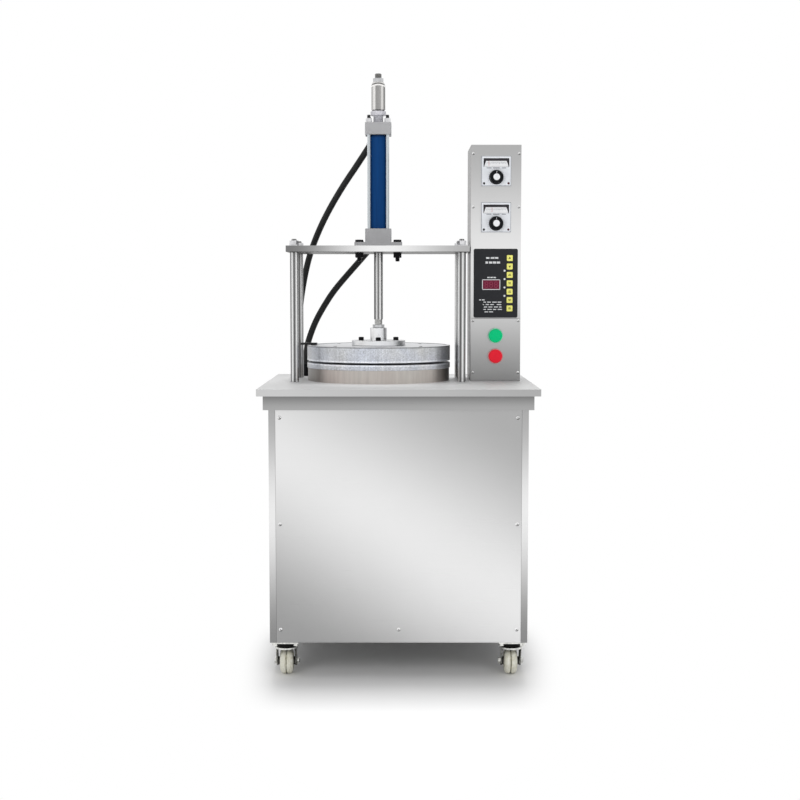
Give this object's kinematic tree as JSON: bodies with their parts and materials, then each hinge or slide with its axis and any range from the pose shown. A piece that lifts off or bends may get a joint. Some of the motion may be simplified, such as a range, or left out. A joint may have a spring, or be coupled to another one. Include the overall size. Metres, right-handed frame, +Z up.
{
  "type": "pneumatic tortilla press",
  "caption": "Floor-standing heated platen press on a castered steel cabinet: a cylinder on a column bridge lowers a round platen, and a control tower stands beside it.",
  "frame": {"origin": "on the floor, under the centre of the table top", "axes": "+Z up, +X to the right of a person who faces the control panel, +Y to the back"},
  "size_m": [0.64, 0.58, 1.417],
  "materials": {
    "stainless": "satin sheet",
    "table_sheet": "satin sheet",
    "tube_steel": "satin",
    "zinc": "zinc plated",
    "chrome_rod": "hard chrome",
    "bridge_steel": "nickel plated",
    "block_grey": "bead blasted",
    "barrel_blue": "gloss blue paint",
    "black_oxide": "black oxide",
    "platen": "turned",
    "housing": "machined, heat tinted",
    "heater": "oxidised sheath",
    "hose": "cloth wrapped rubber",
    "controller": "satin",
    "knob_black": "satin",
    "keypad": "printed film",
    "key_yellow": "soft gloss",
    "green": "gloss",
    "red": "gloss",
    "wheel": "cast nylon",
    "tank": "grey paint",
    "motor": "grey blue paint"
  },
  "bodies": {
    "machine": {"table_top": "table_sheet", "frame_tubes": "tube_steel", "floor_pan": "stainless", "side_panels": "stainless", "back_panel": "stainless", "front_panel": "stainless", "cover_screws": "zinc", "bed_plate": "tube_steel", "columns": "chrome_rod", "column_nuts": "zinc", "bridge_plate": "bridge_steel", "cylinder_head": "block_grey", "cylinder_barrel": "barrel_blue", "cylinder_cap": "block_grey", "tie_rods": "zinc", "flange_bolts": "black_oxide", "fittings": "zinc", "upper_hose": "hose", "lower_hose": "hose", "lower_housing": "housing", "lower_platen": "platen", "lower_heater": "heater", "control_box": "stainless", "control_panel": "stainless", "dial_controllers": "controller", "keypad_plate": "keypad", "button_collars": "zinc", "caster_plates": "zinc", "oil_tank": "tank", "pump_motor": "motor", "valve_block": "block_grey"},
    "ram": {"ram_rod": "chrome_rod", "piston": "block_grey", "ram_fasteners": "zinc", "platen_hub": "platen", "upper_platen": "platen", "upper_cover": "platen", "upper_heater": "heater"},
    "adjuster_sleeve": {"adjuster_sleeve": "chrome_rod"},
    "adjuster_lock_nut": {"adjuster_lock_nut": "zinc"},
    "knob_upper": {"knob_upper": "knob_black"},
    "knob_lower": {"knob_lower": "knob_black"},
    "start_button": {"start_button": "green"},
    "stop_button": {"stop_button": "red"},
    "motor_fan": {"motor_fan": "zinc"},
    "key_1": {"key_1": "key_yellow"},
    "key_2": {"key_2": "key_yellow"},
    "key_3": {"key_3": "key_yellow"},
    "key_4": {"key_4": "key_yellow"},
    "key_5": {"key_5": "key_yellow"},
    "key_6": {"key_6": "key_yellow"},
    "key_7": {"key_7": "key_yellow"},
    "caster_fork_front_left": {"caster_fork_front_left": "zinc"},
    "caster_fork_front_right": {"caster_fork_front_right": "zinc"},
    "caster_fork_rear_left": {"caster_fork_rear_left": "zinc"},
    "caster_fork_rear_right": {"caster_fork_rear_right": "zinc"},
    "caster_wheel_front_left": {"caster_wheel_front_left": "wheel"},
    "caster_wheel_front_right": {"caster_wheel_front_right": "wheel"},
    "caster_wheel_rear_left": {"caster_wheel_rear_left": "wheel"},
    "caster_wheel_rear_right": {"caster_wheel_rear_right": "wheel"}
  },
  "joints": [
    {"name": "ram_slide", "type": "slide", "parent": "machine", "child": "ram", "axis": [0, 0, 1], "range_m": [0, 0.15]},
    {"name": "adjuster_lift", "type": "slide", "parent": "ram", "child": "adjuster_lock_nut", "axis": [0, 0, 1], "range_m": [0, 0.008]},
    {"name": "adjuster_turn", "type": "hinge", "parent": "adjuster_lock_nut", "child": "adjuster_sleeve", "pos_m": [-0.05, 0.058, 1.36], "axis": [0, 0, 1], "range_deg": [0, 1440]},
    {"name": "knob_upper_turn", "type": "hinge", "parent": "machine", "child": "knob_upper", "pos_m": [0.236, -0.011, 1.1616], "axis": [0, -1, 0], "range_deg": [-300, 0]},
    {"name": "knob_lower_turn", "type": "hinge", "parent": "machine", "child": "knob_lower", "pos_m": [0.236, -0.011, 1.0506], "axis": [0, -1, 0], "range_deg": [-300, 0]},
    {"name": "start_button_press", "type": "slide", "parent": "machine", "child": "start_button", "axis": [0, 1, 0], "range_m": [0, 0.004], "stiffness_N_per_m": 400, "springref_m": -0.002},
    {"name": "stop_button_press", "type": "slide", "parent": "machine", "child": "stop_button", "axis": [0, 1, 0], "range_m": [0, 0.004], "stiffness_N_per_m": 400, "springref_m": -0.002},
    {"name": "key_1_press", "type": "slide", "parent": "machine", "child": "key_1", "axis": [0, 1, 0], "range_m": [0, 0.0006], "stiffness_N_per_m": 1000, "springref_m": -0.0005},
    {"name": "key_2_press", "type": "slide", "parent": "machine", "child": "key_2", "axis": [0, 1, 0], "range_m": [0, 0.0006], "stiffness_N_per_m": 1000, "springref_m": -0.0005},
    {"name": "key_3_press", "type": "slide", "parent": "machine", "child": "key_3", "axis": [0, 1, 0], "range_m": [0, 0.0006], "stiffness_N_per_m": 1000, "springref_m": -0.0005},
    {"name": "key_4_press", "type": "slide", "parent": "machine", "child": "key_4", "axis": [0, 1, 0], "range_m": [0, 0.0006], "stiffness_N_per_m": 1000, "springref_m": -0.0005},
    {"name": "key_5_press", "type": "slide", "parent": "machine", "child": "key_5", "axis": [0, 1, 0], "range_m": [0, 0.0006], "stiffness_N_per_m": 1000, "springref_m": -0.0005},
    {"name": "key_6_press", "type": "slide", "parent": "machine", "child": "key_6", "axis": [0, 1, 0], "range_m": [0, 0.0006], "stiffness_N_per_m": 1000, "springref_m": -0.0005},
    {"name": "key_7_press", "type": "slide", "parent": "machine", "child": "key_7", "axis": [0, 1, 0], "range_m": [0, 0.0006], "stiffness_N_per_m": 1000, "springref_m": -0.0005},
    {"name": "swivel_front_left", "type": "hinge", "parent": "machine", "child": "caster_fork_front_left", "pos_m": [-0.26, -0.228, 0.066], "axis": [0, 0, 1], "continuous": true},
    {"name": "wheel_spin_front_left", "type": "hinge", "parent": "caster_fork_front_left", "child": "caster_wheel_front_left", "pos_m": [-0.26, -0.214, 0.03], "axis": [1, 0, 0], "continuous": true},
    {"name": "swivel_front_right", "type": "hinge", "parent": "machine", "child": "caster_fork_front_right", "pos_m": [0.26, -0.228, 0.066], "axis": [0, 0, 1], "continuous": true},
    {"name": "wheel_spin_front_right", "type": "hinge", "parent": "caster_fork_front_right", "child": "caster_wheel_front_right", "pos_m": [0.26, -0.214, 0.03], "axis": [1, 0, 0], "continuous": true},
    {"name": "swivel_rear_left", "type": "hinge", "parent": "machine", "child": "caster_fork_rear_left", "pos_m": [-0.26, 0.228, 0.066], "axis": [0, 0, 1], "continuous": true},
    {"name": "wheel_spin_rear_left", "type": "hinge", "parent": "caster_fork_rear_left", "child": "caster_wheel_rear_left", "pos_m": [-0.26, 0.242, 0.03], "axis": [1, 0, 0], "continuous": true},
    {"name": "swivel_rear_right", "type": "hinge", "parent": "machine", "child": "caster_fork_rear_right", "pos_m": [0.26, 0.228, 0.066], "axis": [0, 0, 1], "continuous": true},
    {"name": "wheel_spin_rear_right", "type": "hinge", "parent": "caster_fork_rear_right", "child": "caster_wheel_rear_right", "pos_m": [0.26, 0.242, 0.03], "axis": [1, 0, 0], "continuous": true},
    {"name": "motor_spin", "type": "hinge", "parent": "machine", "child": "motor_fan", "pos_m": [-0.06, 0.09, 0.4], "axis": [0, 0, 1], "continuous": true}
  ],
  "couplings": [
    {"joint": "adjuster_turn", "follows": "adjuster_lift", "rad_per_m": 3141.6}
  ]
}
